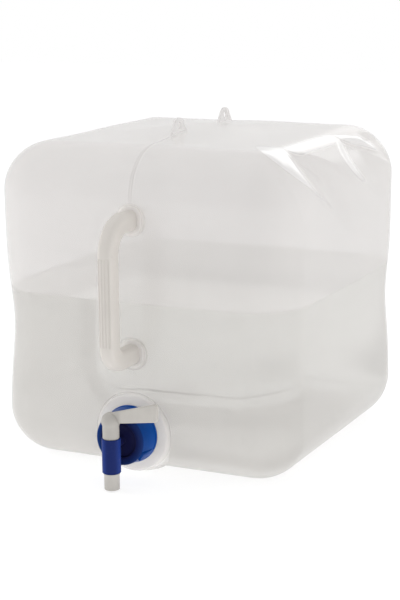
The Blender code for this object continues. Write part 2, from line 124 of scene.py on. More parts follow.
# The cap and the tap
CAP_BACK = FRONT - CAP_HIGH.y
CAP_FRONT = FRONT - CAP_LOW.y
CAP_WALL = 0.0019
CAP_FACE = 0.0025
CAP_EDGE = 0.0022
CAP_TAPER = 0.0020
CAP_RADIUS = 0.0240
RING_STEP = 0.0005
RING_LENGTH = 0.0030
LUG_WIDTH = 0.0080
LUG_HEIGHT = 0.0018
LUG_TURN = math.radians(-34)
HUB_RADIUS = 0.0150
HUB_SINK = 0.0022
FLANGE_THICKNESS = 0.0025
SPIGOT_LENGTH = 0.0050
SHANK_RADIUS = 0.0047
SHANK_BORE_RADIUS = 0.0031
SLEEVE_WALL = 0.0011
SLEEVE_RADIUS = 0.0078
SLEEVE_CHAMFER = 0.0006
SLEEVE_TOP = 0.0446
SLEEVE_END = TAP_LOW.z
PLUG_RADIUS = 0.0064
PLUG_BORE_RADIUS = 0.0046
PLUG_BORE_HEADROOM = 0.0006
PLUG_SNAP_HEIGHT = 0.0005
HEAD_NECK_RADIUS = 0.0069
HEAD_BALL_RADIUS = 0.0078
HEAD_BALL_RISE = 0.0142
LEVER_LENGTH = PLUG_HIGH.x
LEVER_THICKNESS = 0.0042
LEVER_ROOT_HEIGHT = 0.0080
LEVER_ROOT_DROP = 0.0007
LEVER_TIP_HEIGHT = 0.0150
LEVER_TIP_RISE = 0.0039
LEVER_CORNER = 0.0025
LEVER_FILLET = 0.0015
LEVER_ROUNDING = 0.0012

# Dents where the soft top right edge has buckled. Each has the dent's upper left corner, the outward normal
# of the plane that it is flat on, the direction from its upper edge into it, the depth that it stops at, and
# where it fades along Y
DENTS = (
    ((0.1091, -0.0738, 0.2750), (0.725, 0.336, 0.601), (0.688, -0.530, -0.496), 0.0200, (-0.040, 0.020)),
    ((0.1125, 0.0361, 0.2738), (0.794, 0.241, 0.558), (0.796, -0.348, -0.497), 0.0160, (0.060, 0.100)),
    ((0.1123, 0.0767, 0.2739), (0.600, 0.300, 0.740), (0.700, -0.250, -0.600), 0.0120, (0.095, 0.120)),
)
# The lower edge of the wedge of painted highlight in front of the first dent: a point and the normal of its
# plane
WEDGE = ((0.0761, -0.0681, 0.2770), (0.518, 0.321, 0.793))
# Fine creases: both ends, half the width and the height, which is below 0 for a groove
CREASES = (
    ((0.1295, -0.1182, 0.2533), (0.1399, -0.1013, 0.2167), 0.0050, 0.0009),
    ((0.1371, -0.1096, 0.2437), (0.1400, -0.0910, 0.2273), 0.0040, 0.0006),
    ((0.0950, -0.0964, 0.2770), (0.1252, -0.1122, 0.2627), 0.0060, 0.0008),
)

# The vessel's two materials, and the inputs that its rule takes from its settings
OUTSIDE, INSIDE = 0, 1
RULE_INPUTS = {
    "half_size": "Vector",
    "edge_radius": "Float",
    "pinch_depth": "Float",
    "pinch_height": "Float",
    "pinch_spread": "Float",
    "crown": "Float",
    "ripple": "Float",
}
LIGHT_PATHS = ("Is Camera Ray", "Is Transmission Ray", "Is Glossy Ray", "Transparent Depth")


def number_property(name, description, default, **kind):
    return FloatProperty(name=name, description=description, default=default, **kind)


def colour_property(name, description, default):
    return FloatVectorProperty(name=name, description=description, default=default, subtype="COLOR")


size_property = partial(number_property, unit="LENGTH")
angle_property = partial(number_property, subtype="ANGLE")
share_property = partial(number_property, subtype="FACTOR")


class VesselSettings(bpy.types.PropertyGroup):
    """Sizes and colours of the milky vessel."""

    half_size: FloatVectorProperty(
        name="Half Size",
        description="Half of the block's width, depth and height",
        default=(VESSEL_HIGH.x, -FRONT, TOP / 2),
        subtype="XYZ",
        unit="LENGTH",
    )
    edge_radius: size_property("Edge Radius", "Rounding of the block's edges", 0.044)
    wall: size_property("Wall", "Thickness of the moulded wall", 0.0012)
    pinch_depth: size_property("Pinch Depth", "How far the upright edges draw in", 0.0055)
    pinch_height: size_property("Pinch Height", "Where the upright edges draw in most", 0.122)
    pinch_spread: size_property("Pinch Spread", "How far up and down the pinch reaches", 0.040)
    crown: size_property("Crown", "How far the soft top bulges in its middle", CROWN_HEIGHT)
    ripple: size_property("Ripple", "Depth of the soft waves in the walls", 0.0012)
    cuts: IntProperty(
        name="Cuts", description="Points along each edge of the block", default=84, min=12, max=120
    )
    colour: colour_property("Colour", "Milky polyethylene", (0.865, 0.843, 0.832))
    # Painted light: the collar and sockets are drawn brighter than the plastic, to lift the shade of the cap
    # and the handle
    thick_brightened_colour: colour_property("Thick Colour", "At the collar and the sockets", (0.985, 0.955, 0.925))
    opacity: share_property("Opacity", "Share of light that the outer skin stops", 0.24)
    thick_opacity: share_property("Thick Opacity", "What the collar and the sockets stop besides", 0.70)
    inner_opacity: share_property("Inner Opacity", "Share of light that the inner skin stops", 0.44)


class WaterSettings(bpy.types.PropertyGroup):
    """The water that the vessel holds."""

    level: size_property("Level", "Height of the water's surface", 0.1495)
    tint: colour_property("Tint", "What the water's surface lets through", (0.945, 0.950, 0.925))


class FittingSettings(bpy.types.PropertyGroup):
    """Colours of the handle, the cap, the gasket and the tap."""

    handle_colour: colour_property("Handle", "Off-white polyethylene of the handle", (0.648, 0.615, 0.577))
    plug_colour: colour_property("Plug", "Off-white polyethylene of the lever", (0.512, 0.490, 0.458))
    # Painted light: a lit copy of the blue, along the two sides of the tap's sleeve
    blue: colour_property("Blue", "Blue polypropylene of the tap's sleeve", (0.014, 0.037, 0.200))
    # Painted shade: a shaded copy of the blue, the base of the cap and of the tap's body
    blue_in_shade: colour_property("Deep Blue", "The same in the thick face of the cap", (0.009, 0.010, 0.050))
    # Painted light: a lit copy of the blue, where the cap's skirt and face catch the light
    blue_lit: colour_property("Lit Blue", "The same where a thin wall lets light in", (0.001, 0.053, 0.260))
    seal_colour: colour_property("Seal", "Pale rubber of the gasket", (0.62, 0.62, 0.60))
    round_steps: IntProperty(
        name="Round Steps", description="Sides of a turned piece", default=128, min=32, max=256
    )


class StageSettings(bpy.types.PropertyGroup):
    """Camera, floor and studio light."""

    azimuth: angle_property("Azimuth", "Camera's turn about the vessel from the front", 0.447317)
    elevation: angle_property("Elevation", "Camera's height as an angle", 0.207819)
    roll: angle_property("Roll", "Camera's lean", -0.0092)
    distance: size_property("Distance", "From the vessel's middle", 1.4647)
    lens: number_property("Lens", "Focal length for a 36 mm sensor, in mm", 97.04)
    shift: FloatVectorProperty(
        name="Shift", description="Lens shift in the frame", default=(-0.00858, -0.02653), size=2
    )
    floor_size: size_property("Floor Size", "Width of the floor", 8.0)
    light: number_property("Light", "Strength of the light from all round", 0.85)
    seen_through: number_property("Seen Through", "Brightness of the backdrop through the vessel", 0.97)
    mirrored: number_property("Mirrored", "Brightness of the studio in reflections", 0.85)
    shade_through_water: number_property(
        "Shade Through Water", "How dark the floor behind the vessel gets, seen through water", 0.58
    )
    softbox: number_property("Softbox", "Brightness of the mirrored softbox behind", 0.8)


def is_vector(value):
    return isinstance(value, tuple) or (isinstance(value, Wire) and value.socket.type == "VECTOR")


def maths_with(operation, reflected=False):
    """A method of Wire that joins it with another value, which comes first in the reflected form."""

    def method(self, other):
        return self.maths(operation, other, self) if reflected else self.maths(operation, self, other)

    return method


class Wire:
    """One socket of a node tree, whose arithmetic adds Math nodes, or Vector Math nodes for vectors."""

    def __init__(self, board, socket):
        self.board = board
        self.socket = socket

    def maths(self, operation, *values):
        kind = "ShaderNodeVectorMath" if any(is_vector(value) for value in values) else "ShaderNodeMath"
        return self.board.node(kind, dict(enumerate(values)), operation=operation)

    def of(self, operation):
        """What an operation on this wire alone gives, such as its sine."""
        return self.maths(operation, self)

    __add__ = __radd__ = maths_with("ADD")
    __sub__ = maths_with("SUBTRACT")
    __rsub__ = maths_with("SUBTRACT", reflected=True)
    __truediv__ = maths_with("DIVIDE")
    __rtruediv__ = maths_with("DIVIDE", reflected=True)
    __pow__ = maths_with("POWER")
    least = maths_with("MINIMUM")
    most = maths_with("MAXIMUM")

    def __mul__(self, other):
        if is_vector(self) and not is_vector(other):
            return self.board.node("ShaderNodeVectorMath", {0: self, "Scale": other}, operation="SCALE")
        return self.maths("MULTIPLY", self, other)

    __rmul__ = __mul__

    def __abs__(self):
        return self.of("ABSOLUTE")

    def unit(self):
        return self.of("NORMALIZE")

    def length(self):
        return self.board.node("ShaderNodeVectorMath", {0: self}, "Value", operation="LENGTH")

    def dot(self, other):
        return self.board.node("ShaderNodeVectorMath", {0: self, 1: other}, "Value", operation="DOT_PRODUCT")

    def axis(self, letter):
        return self.board.node("ShaderNodeSeparateXYZ", {0: self}, out=letter)

    def rise(self, start, end):
        """A smooth step from 0 at start to 1 at end, whichever of them is the lower."""
        values = {"Value": self, "From Min": min(start, end), "From Max": max(start, end)}
        if end < start:
            values.update({"To Min": 1.0, "To Max": 0.0})
        return self.board.node("ShaderNodeMapRange", values, interpolation_type="SMOOTHSTEP")


class Board:
    """A node tree to build on."""

    def __init__(self, tree):
        self.tree = tree
        tree.nodes.clear()

    def node(self, kind, values=None, out=0, **settings):
        """Adds any node, first its settings and then its sockets' values or links, and gives one output."""
        node = self.tree.nodes.new(kind)
        for name, value in settings.items():
            setattr(node, name, value)
        for key, value in (values or {}).items():
            if isinstance(value, Wire):
                self.tree.links.new(value.socket, node.inputs[key])
            else:
                node.inputs[key].default_value = value
        return None if out is None else Wire(self, node.outputs[out])

    def vector(self, **axes):
        return self.node("ShaderNodeCombineXYZ", axes)

    def noise(self, place, scale, detail=2.0, roughness=0.5):
        values = {"Vector": place, "Scale": scale, "Detail": detail, "Roughness": roughness}
        return self.node("ShaderNodeTexNoise", values)

    def bump(self, relief, strength, distance):
        """The normal that a relief gives."""
        values = {"Strength": strength, "Distance": distance, "Height": relief}
        return self.node("ShaderNodeBump", values)

    def shader(self, kind, **sockets):
        """A shader, its sockets' names with _ for a space."""
        values = {name.replace("_", " "): value for name, value in sockets.items()}
        return self.node("ShaderNodeBsdf" + kind, values)

    def blend(self, first, second, share):
        """A colour between two colours."""
        return self.node("ShaderNodeMix", {0: share, 6: first, 7: second}, 2, data_type="RGBA")

    def either(self, first, second, share):
        """A shader between two shaders."""
        return self.node("ShaderNodeMixShader", {0: share, 1: first, 2: second})

    def show(self, shader, output="Material"):
        """Ends the tree in its output."""
        self.node("ShaderNodeOutput" + output, {"Surface": shader}, out=None)


def shader_board(name):
    """A new material, the board of its tree, and the place on the piece that its patterns follow."""
    material = bpy.data.materials.new(name)
    material.use_nodes = True
    board = Board(material.node_tree)
    return material, board, board.node("ShaderNodeTexCoord", out="Object")


def rgb(colour, shade=1.0):
    return (*(channel * shade for channel in colour), 1.0)


def grey(level):
    return rgb((level, level, level))


def milky_plastic(settings, inside):
    """Translucent polyethylene: a thin, uneven, scattering skin with die lines, a soft gloss, painted
    highlights beside the dents and a painted brighter colour at the collar and sockets.
    """
    material, board, place = shader_board("milky_inside" if inside else "milky_outside")
    drift = board.noise(place, 9.0, 2.0)
    die_lines = board.noise(place * (170.0, 170.0, 6.0), 1.0, 3.0)
    grain = board.noise(place, 620.0, 3.0)
    scuff = board.noise(place, 46.0, 6.0, 0.62).rise(0.66, 0.80)
    painted_highlight = painted_dent_highlights(place)
    thick_brightened = thick_and_brightened(place)
    tabs, seam = on_parting_line(place)
    colour = board.blend(rgb(settings.colour), rgb(settings.colour, 0.94), drift.rise(0.35, 0.75))
    # Collar and sockets: thicker plastic, painted brighter to lift the shade of the cap and the handle
    colour = board.blend(colour, rgb(settings.thick_brightened_colour), thick_brightened)
    colour = board.blend(colour, rgb(settings.colour, 0.84), seam)
    colour = board.blend(colour, grey(0.89), tabs)
    # Painted highlight beside the dents: near-white colour here, and below more opacity and more gloss
    colour = board.blend(colour, grey(0.96), painted_highlight)
    normal = board.bump(grain * 0.05 + die_lines * 0.95, 0.05, 0.0004)
    body = board.shader("Principled", Base_Color=colour, Roughness=0.6, Specular_IOR_Level=0.0, Normal=normal)
    through = board.shader("Translucent", Color=rgb(settings.colour))
    scatter = board.either(body, through, 0.5 - thick_brightened * 0.35)
    clear = board.shader("Transparent", Color=grey(1.0))
    opacity = settings.inner_opacity if inside else settings.opacity
    stopped = opacity * (1 - 0.10 * drift.rise(0.3, 0.7)) + thick_brightened * settings.thick_opacity
    stopped = stopped.most(opacity + painted_highlight * 0.50).most(opacity + tabs * 0.70) + seam * 0.16
    skin = board.either(clear, scatter, stopped)
    roughness = 0.17 + scuff * 0.10 + die_lines * 0.05
    gloss = board.shader("Anisotropic", Color=grey(1.0), Roughness=roughness, Normal=normal)
    edge_on = board.node("ShaderNodeLayerWeight", {"Blend": 0.5}, out="Facing") ** 5
    # The outer skin mirrors more where the highlight beside the dents is painted
    if inside:
        mirrored = 0.012 + edge_on * 0.30
    else:
        mirrored = (0.045 + edge_on * 0.45) * (1 - thick_brightened * 0.6) * (1 - tabs * 0.7) + painted_highlight * 0.22
    board.show(board.either(skin, gloss, mirrored))
    return material


def thick_and_brightened(place):
    """A mask of the front's thicker plastic, a little at the collar and more at the sockets of the handle,
    whose colour is also painted brighter to lift the shade of the cap and the handle.
    """
    edge, core, front_skin = 0.0150, 0.0115, 0.010

    def off_axis(height):
        return ((place - (0.0, 0.0, height)) * (1.0, 0.0, 1.0)).length()

    thick_brightened = off_axis(NECK_AXIS.z).rise(COLLAR_RADIUS + 0.004, COLLAR_RADIUS - 0.002) * 0.25
    for height in HANDLE_FEET:
        thick_brightened = thick_brightened.most(off_axis(height).rise(edge, core) * 0.75)
    return thick_brightened * place.axis("Y").rise(FRONT + 3 * front_skin, FRONT + front_skin)


def beyond(place, point, normal):
    """How far a place lies beyond the plane through a point, along its normal."""
    return (place - point).dot(tuple(Vector(normal).normalized()))


def painted_dent_highlights(place):
    """A mask of painted highlights beside the dents, where the buckled wall would catch the light: the
    plastic is drawn whiter, more opaque and glossier there.
    """
    x, y, z = (place.axis(letter) for letter in "XYZ")
    first, second = DENTS[:2]
    wedge = beyond(place, *WEDGE).rise(0.0, 0.0012) * y.rise(-0.062, -0.080)
    wedge = wedge * beyond(place, *first[:2]).rise(-0.0002, -0.0010)
    band = x.rise(0.100, 0.110) * x.rise(0.121, 0.113) * y.rise(-0.078, -0.066) * y.rise(0.045, 0.025)
    band = band * beyond(place, first[0], first[2]).rise(0.003, -0.001)
    past_second = beyond(place, second[0], second[2])
    crescent = past_second.rise(-0.0055, -0.0035) * past_second.rise(0.0035, 0.0015)
    crescent = crescent * y.rise(0.034, 0.042) * y.rise(0.098, 0.085)
    mask = wedge.most(band).most(crescent)
    for point, normal, inward, _, _ in (first, second):
        beside = beyond(place, point, normal)
        rim = beside.rise(-0.0024, -0.0010) * beside.rise(0.0006, 0.0)
        rim = rim * y.rise(point[1] + 0.020, point[1] + 0.005)
        mask = mask.most(rim * beyond(place, point, inward).rise(0.0, 0.004) * 0.8)
    return mask * z.rise(0.228, 0.250) * x.rise(0.076, 0.092)


def on_parting_line(place):
    """Masks of the two tabs and of the thicker plastic on the parting line between tab and handle."""
    x, y, z = (place.axis(letter) for letter in "XYZ")
    middle, reach = sum(TAB_PLACES) / 2, (TAB_PLACES[1] - TAB_PLACES[0]) / 2
    near = abs(abs(y - middle) - reach).rise(TAB_WIDTH * 0.70, TAB_WIDTH * 0.55)
    tabs = near * abs(x).rise(0.0020, 0.0014) * z.rise(TOP + 0.0046, TOP + 0.0058)
    seam = abs(x).rise(0.0024, 0.0004) * y.rise(TAB_PLACES[0] - 0.008, TAB_PLACES[0] - 0.018)
    return tabs, seam * z.rise(HANDLE_FEET[1] + 0.010, HANDLE_FEET[1] + 0.018)


def water_material(settings):
    """Clear water that bends what is seen through it and lets the lamps' light pass."""
    material, board, place = shader_board("water")
    tint = rgb(settings.tint)
    normal = board.bump(board.noise(place, 14.0, 1.0), 0.05, 0.002)
    glass = board.shader(
        "Principled", Base_Color=tint, Roughness=0.0, IOR=1.30, Transmission_Weight=1.0, Normal=normal
    )
    clear = board.shader("Transparent", Color=tint)
    lamps = board.node("ShaderNodeLightPath", out="Is Shadow Ray")
    board.show(board.either(glass, clear, lamps))
    return material


def moulded_plastic(name, colour, roughness, specular, cloud=0.05, mottling=60.0, second=None):
    """Moulded plastic with fine grain, clouds and scuffs and, where given, a second colour on a mask."""
    material, board, place = shader_board(name)
    clouds = board.noise(place, mottling, 3.0)
    grain = board.noise(place, 1500.0, 2.0)
    scuff = board.noise(place, 190.0, 5.0, 0.6).rise(0.58, 0.74)
    base = board.blend(rgb(colour), rgb(colour, 1 - 2 * cloud), clouds.rise(0.3, 0.7))
    if second is not None:
        mask, other_colour = second
        base = board.blend(base, other_colour, mask(board, place))
    shader = board.shader(
        "Principled",
        Base_Color=board.blend(base, grey(0.60), scuff * 0.01),
        Roughness=roughness + scuff * 0.15 + clouds * 0.06,
        Specular_IOR_Level=specular,
        Normal=board.bump(grain * 0.6 + clouds * 0.4, 0.12, 0.0002),
    )
    board.show(shader)
    return material


def new_object(name, data):
    obj = bpy.data.objects.new(name, data)
    bpy.context.scene.collection.objects.link(obj)
    return obj


def plain_copy(obj, name):
    """The evaluated object as one plain mesh under a name, in place of the object."""
    graph = bpy.context.evaluated_depsgraph_get()
    mesh = bpy.data.meshes.new_from_object(obj.evaluated_get(graph))
    mesh.transform(obj.matrix_world)
    bpy.data.objects.remove(obj, do_unlink=True)
    mesh.name = name
    return new_object(name, mesh)


@contextmanager
def edited(mesh):
    """Opens a mesh as a BMesh and writes it back at the end."""
    bm = bmesh.new()
    bm.from_mesh(mesh)
    yield bm
    bm.to_mesh(mesh)
    bm.free()


def sliced(bm, point, normal, **options):
    """Cuts all of a BMesh by a plane and gives the points and edges of the cut."""
    geometry = bm.verts[:] + bm.edges[:] + bm.faces[:]
    return bmesh.ops.bisect_plane(bm, geom=geometry, plane_co=point, plane_no=normal, **options)["geom_cut"]


def grown_by_tree(name, tree, **inputs):
    """The plain mesh that a Geometry Nodes tree makes from its named inputs."""
    obj = new_object(name + "_source", bpy.data.meshes.new(name))
    modifier = obj.modifiers.new("rule", "NODES")
    modifier.node_group = tree
    for item in tree.interface.items_tree:
        if item.in_out == "INPUT":
            modifier[item.identifier] = inputs[item.name]
    bpy.context.view_layer.update()
    return plain_copy(obj, name)


def geometry_board(name, **inputs):
    """A Geometry Nodes tree with named inputs, its board, and a Wire for each input."""
    tree = bpy.data.node_groups.new(name, "GeometryNodeTree")
    tree.interface.new_socket("Geometry", in_out="OUTPUT", socket_type="NodeSocketGeometry")
    for title, kind in inputs.items():
        tree.interface.new_socket(title, in_out="INPUT", socket_type="NodeSocket" + kind)
    board = Board(tree)
    source = tree.nodes.new("NodeGroupInput")
    return tree, board, {title: Wire(board, source.outputs[title]) for title in inputs}


def end_tree(board, geometry, material):
    """Realizes the instances, sets the material and joins the tree's output."""
    real = board.node("GeometryNodeRealizeInstances", {0: geometry})
    painted = board.node("GeometryNodeSetMaterial", {"Geometry": real, "Material": material})
    board.node("NodeGroupOutput", {0: painted}, out=None)


def vessel_tree():
    """The vessel's block by rule: a gridded cube, rounded, drawn in, crowned, dented, creased and rippled."""
    more = {"cuts": "Int", "inset": "Float", "material": "Material"}
    tree, board, given = geometry_board("vessel_by_rule", **RULE_INPUTS, **more)
    cuts = given["cuts"]
    values = {"Size": (2.0, 2.0, 2.0), "Vertices X": cuts, "Vertices Y": cuts, "Vertices Z": cuts}
    cube = board.node("GeometryNodeMeshCube", values, out="Mesh")
    grid = board.node("GeometryNodeInputPosition")
    crowding = 0.55
    spread = grid + (grid * math.pi).of("SINE") * (crowding / math.pi)
    half, radius = given["half_size"], given["edge_radius"]
    core = half - board.vector(X=radius, Y=radius, Z=radius)
    target = spread * half
    centre = target.least(core).most(core * -1.0)
    out = (target - centre).unit()
    skin = centre + out * radius + board.vector(Z=half.axis("Z"))
    x, y, z = (skin.axis(letter) for letter in "XYZ")
    crown = given["crown"] * z.rise(TOP / 2 - 0.001, TOP / 2)
    for wire, reach in ((x, CROWN_REACH[0]), (y, CROWN_REACH[1])):
        crown = crown * ((abs(wire) / reach).least(1.0) * (math.pi / 2)).of("COSINE") ** 2
    across = (x / half.axis("X")) ** 2 * (y / half.axis("Y")) ** 2
    level = (z - given["pinch_height"]) / given["pinch_spread"]
    draw = given["pinch_depth"] * across * (0 - level * level).of("EXPONENT")
    shift = skin.of("SIGN") * (-1.0, -1.0, 0.0) * draw + board.vector(Z=crown)
    for point, normal, inward, limit, (fade, gone) in DENTS:
        normal = tuple(Vector(normal).normalized())
        above = (skin - point).dot(normal).most(0.0)
        within = (skin - point).dot(inward).rise(-0.001, 0.007)
        shift = shift - above / (1 + above / limit) * within * y.rise(gone, fade) * normal
    for start, end, width, height in CREASES:
        run = Vector(end) - Vector(start)
        along = (skin - start).dot(tuple(run / run.length_squared)).most(0.0).least(1.0)
        near = 1 - (skin - (along * tuple(run) + start)).length() / width
        swell = near.most(0.0) * (height * 4.0) * along.most(0.08) * (1.08 - along)
        shift = shift + out * swell
    ripple = board.noise(skin, 9.0, 1.0).rise(0.25, 0.75) * given["ripple"] * z.rise(0.004, 0.050)
    place = skin + shift - out * (ripple + given["inset"])
    moved = board.node("GeometryNodeSetPosition", {"Geometry": cube, "Position": place})
    end_tree(board, board.node("GeometryNodeSetShadeSmooth", {0: moved}), given["material"])
    return tree


def thread_tree():
    """A helical ridge about +Z, its first turn at the bottom."""
    sizes = dict.fromkeys(("radius", "pitch", "turns", "ridge"), "Float")
    tree, board, given = geometry_board("thread_by_rule", **sizes, material="Material")
    values = {
        "Resolution": 64,
        "Rotations": given["turns"],
        "Start Radius": given["radius"],
        "End Radius": given["radius"],
        "Height": given["turns"] * given["pitch"],
    }
    helix = board.node("GeometryNodeCurveSpiral", values)
    height = given["ridge"]
    section = {"Height": height, "Bottom Width": height * 2.2, "Top Width": height * 0.8, "Offset": 0.0}
    profile = board.node("GeometryNodeCurvePrimitiveQuadrilateral", section, mode="TRAPEZOID")
    values = {"Curve": helix, "Profile Curve": profile, "Fill Caps": True}
    end_tree(board, board.node("GeometryNodeCurveToMesh", values), given["material"])
    return tree


def flute_tree():
    """A row of upright rods along X that cut the grip's grooves."""
    sizes = dict.fromkeys(("spacing", "radius", "length"), "Float")
    tree, board, given = geometry_board("flutes_by_rule", count="Int", **sizes, material="Material")
    count, spacing = given["count"], given["spacing"]
    values = {"Vertices": 16, "Radius": given["radius"], "Depth": given["length"]}
    bar = board.node("GeometryNodeMeshCylinder", values, out="Mesh")
    start = board.vector(X=(count - 1) * spacing * -0.5)
    values = {"Count": count, "Start Location": start, "Offset": board.vector(X=spacing)}
    row = board.node("GeometryNodeMeshLine", values)
    bars = board.node("GeometryNodeInstanceOnPoints", {"Points": row, "Instance": bar})
    end_tree(board, bars, given["material"])
    return tree


def arc(centre, radius, start, end, steps):
    """Points on an arc about centre, from one angle in degrees to another."""
    angles = [math.radians(start + (end - start) * i / steps) for i in range(steps + 1)]
    return [(centre[0] + radius * math.cos(a), centre[1] + radius * math.sin(a)) for a in angles]


def turned(name, profile, closed, steps):
    """A turned shape about +Z from (radius, height) points that run down its outer side."""
    mesh = bpy.data.meshes.new(name)
    edges = [(i, i + 1) for i in range(len(profile) - 1)]
    if closed:
        edges.append((len(profile) - 1, 0))
    mesh.from_pydata([(radius, 0, height) for radius, height in profile], edges, [])
    obj = new_object(name + "_profile", mesh)
    screw = obj.modifiers.new("turn", "SCREW")
    screw.steps = steps
    screw.render_steps = steps
    screw.use_merge_vertices = True
    screw.merge_threshold = WELD
    return plain_copy(obj, name)


def rod(name, radius, bottom, top, steps):
    """A plain round bar along +Z."""
    return turned(name, [(0, top), (radius, top), (radius, bottom), (0, bottom)], False, steps)


def plate(name, outlines, thickness, rounding=0.0, resolution=4):
    """A flat plate in the XY plane from closed outlines, with rounded edges, as one welded mesh."""
    curve = bpy.data.curves.new(name, "CURVE")
    curve.dimensions = "2D"
    curve.fill_mode = "BOTH"
    curve.extrude = thickness / 2 - rounding
    curve.bevel_depth = rounding
    curve.bevel_resolution = resolution
    curve.offset = -rounding
    for outline in outlines:
        spline = curve.splines.new("POLY")
        spline.points.add(len(outline) - 1)
        for point, (x, y) in zip(spline.points, outline):
            point.co = (x, y, 0, 1)
        spline.use_cyclic_u = True
    obj = plain_copy(new_object(name + "_outline", curve), name)
    with edited(obj.data) as bm:
        bmesh.ops.remove_doubles(bm, verts=bm.verts, dist=WELD)
        bmesh.ops.recalc_face_normals(bm, faces=bm.faces)
    return obj


def placed(obj, matrix):
    """Puts a plain mesh in place by moving its points."""
    obj.data.transform(matrix)
    return obj


def at_neck(obj):
    """Turns a piece's own +Z outward and puts it on the neck's axis, at the front wall's plane."""
    return placed(obj, Matrix.Translation(NECK_AXIS) @ OUTWARD)


def at_sleeve(obj):
    """Puts an upright piece, drawn at its real height, on the sleeve's axis."""
    return placed(obj, Matrix.Translation((0, SLEEVE_AXIS.y, 0)))


def stand_upright(obj):
    """Turns a plate drawn as (out, height) so that out points to -Y and the plate is centred on x = 0."""
    return placed(obj, Matrix(((0, 0, -1, 0), (-1, 0, 0, FRONT), (0, 1, 0, 0), (0, 0, 0, 1))))


def plus(*others, side=OUTSIDE):
    """Steps for joined that add these meshes with one of the materials."""
    return [(other, "UNION", side) for other in others]


def minus(*others, side=OUTSIDE):
    """Steps for joined that cut these meshes away and leave one of the materials on the cut."""
    return [(other, "DIFFERENCE", side) for other in others]


def joined(obj, steps):
    """Joins and cuts a mesh with others, in order, and removes them."""
    name = obj.name
    slots = list(obj.data.materials)
    for other, operation, side in steps:
        other.data.materials.clear()
        for material in slots:
            other.data.materials.append(material)
        other.data.polygons.foreach_set("material_index", [side] * len(other.data.polygons))
        modifier = obj.modifiers.new(other.name, "BOOLEAN")
        modifier.operation = operation
        modifier.object = other
        modifier.solver = "MANIFOLD"
    result = plain_copy(obj, name)
    for other, _, _ in steps:
        bpy.data.objects.remove(other, do_unlink=True)
    return result


def finished(obj, body, slot, *nodes, angle=35):
    """Shades a finished piece, ties it to its body and hides the CAD nodes that it stands for; its finish is
    not used.
    """
    obj.data.shade_smooth()
    obj.data.set_sharp_from_angle(angle=math.radians(angle))
    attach(obj, body)
    if nodes:
        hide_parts(*nodes)
    return obj


def painted(obj, *materials):
    obj.data.materials.clear()
    for material in materials:
        obj.data.materials.append(material)
    return obj


def vessel_block(name, settings, tree, inset, cuts, material):
    sizes = {key: getattr(settings, key) for key in RULE_INPUTS}
    return grown_by_tree(name, tree, **sizes, inset=inset, cuts=cuts, material=material)


def moulded_thread(name, start, radius, turns, ridge, material):
    """A thread round the neck's axis, from a distance out of the front wall."""
    tree = bpy.data.node_groups.get("thread_by_rule") or thread_tree()
    sizes = {"radius": radius, "pitch": THREAD_PITCH, "turns": turns, "ridge": ridge}
    thread = grown_by_tree(name, tree, **sizes, material=material)
    return at_neck(placed(thread, Matrix.Translation((0, 0, start))))


def raise_bead(obj, settings):
    """Cuts the block at the parting plane and raises a fine bead there, not underneath or at the collar."""
    flat_y = settings.half_size[1] - settings.edge_radius
    with edited(obj.data) as bm:
        for x in (-BEAD_WIDTH / 2, 0, BEAD_WIDTH / 2):
            sliced(bm, (x, 0, 0), (1, 0, 0), dist=WELD / 10)
        bm.normal_update()
        for vertex in bm.verts:
            place = vertex.co
            at_collar = place.y < -flat_y and place.z < NECK_AXIS.z + COLLAR_RADIUS
            if abs(place.x) < WELD / 5 and not at_collar and place.z > settings.edge_radius / 2:
                vertex.co = place + vertex.normal * BEAD_HEIGHT
    return obj


def collar_profile(inset):
    """Half of the collar's section, set in from its outer faces: a drafted cone with a rounded front edge."""
    front, radius = COLLAR_STAND - inset, COLLAR_RADIUS - inset
    back = -COLLAR_DEPTH - 2 * inset
    edge = COLLAR_EDGE - inset
    profile = [(0, front)]
    profile += arc((radius - edge, front - edge), edge, 90, 15, 6)
    foot = radius + COLLAR_DRAFT
    return profile + [(foot, front - edge - COLLAR_DRAFT_DEPTH), (foot, back), (0, back)]


def crown_rise(y):
    """How far the top bulges on the parting line."""
    return CROWN_HEIGHT * math.cos(min(abs(y) / CROWN_REACH[1], 1) * math.pi / 2) ** 2


def tab(name, y):
    """One hanging tab: a tongue that follows the crown, with a round head, a cord hole and eased edges."""
    sink = 0.0010
    places = [TAB_WIDTH * (i / 8 - 0.5) for i in range(9)]
    tongue = [(place, crown_rise(y + place) - sink) for place in places]
    tongue += arc((0, TAB_RISE - TAB_HEAD_RADIUS), TAB_HEAD_RADIUS, 25, 155, 28)
    hole = arc((0, TAB_RISE - TAB_HOLE_DROP), TAB_HOLE_RADIUS, 0, 345, 31)
    obj = plate(name, [tongue, hole], TAB_THICKNESS, 0.0004, 2)
    sideways = Matrix.Rotation(math.pi / 2, 4, "Z")
    return placed(obj, Matrix.Translation((0, y, TOP)) @ sideways @ OUTWARD)


def handle_outline(clearance, fine):
    """The handle's bar seen from the side as (out, height) points, grown by a clearance."""
    bar = HANDLE_BAR / 2 + clearance
    low, high = HANDLE_FEET
    inner = HANDLE_REACH - HANDLE_BAR - clearance
    outer = HANDLE_REACH + clearance
    low_in, low_out = HANDLE_LOW_BEND - clearance, HANDLE_LOW_BEND + HANDLE_BAR + clearance
    top_in, top_out = HANDLE_TOP_BEND - clearance, HANDLE_TOP_BEND + HANDLE_BAR + clearance
    end = HANDLE_END - clearance
    points = arc((outer - low_out, low - bar + low_out), low_out, -90, 0, fine)
    points += arc((outer - top_out, high + bar - top_out), top_out, 0, 90, fine)
    points += [(end, high + bar), (end, high - bar)]
    points += arc((inner - top_in, high - bar - top_in), top_in, 90, 0, fine)
    points += arc((inner - low_in, low + bar + low_in), low_in, 0, -90, fine)
    points += [(end, low + bar), (end, low - bar)]
    return points


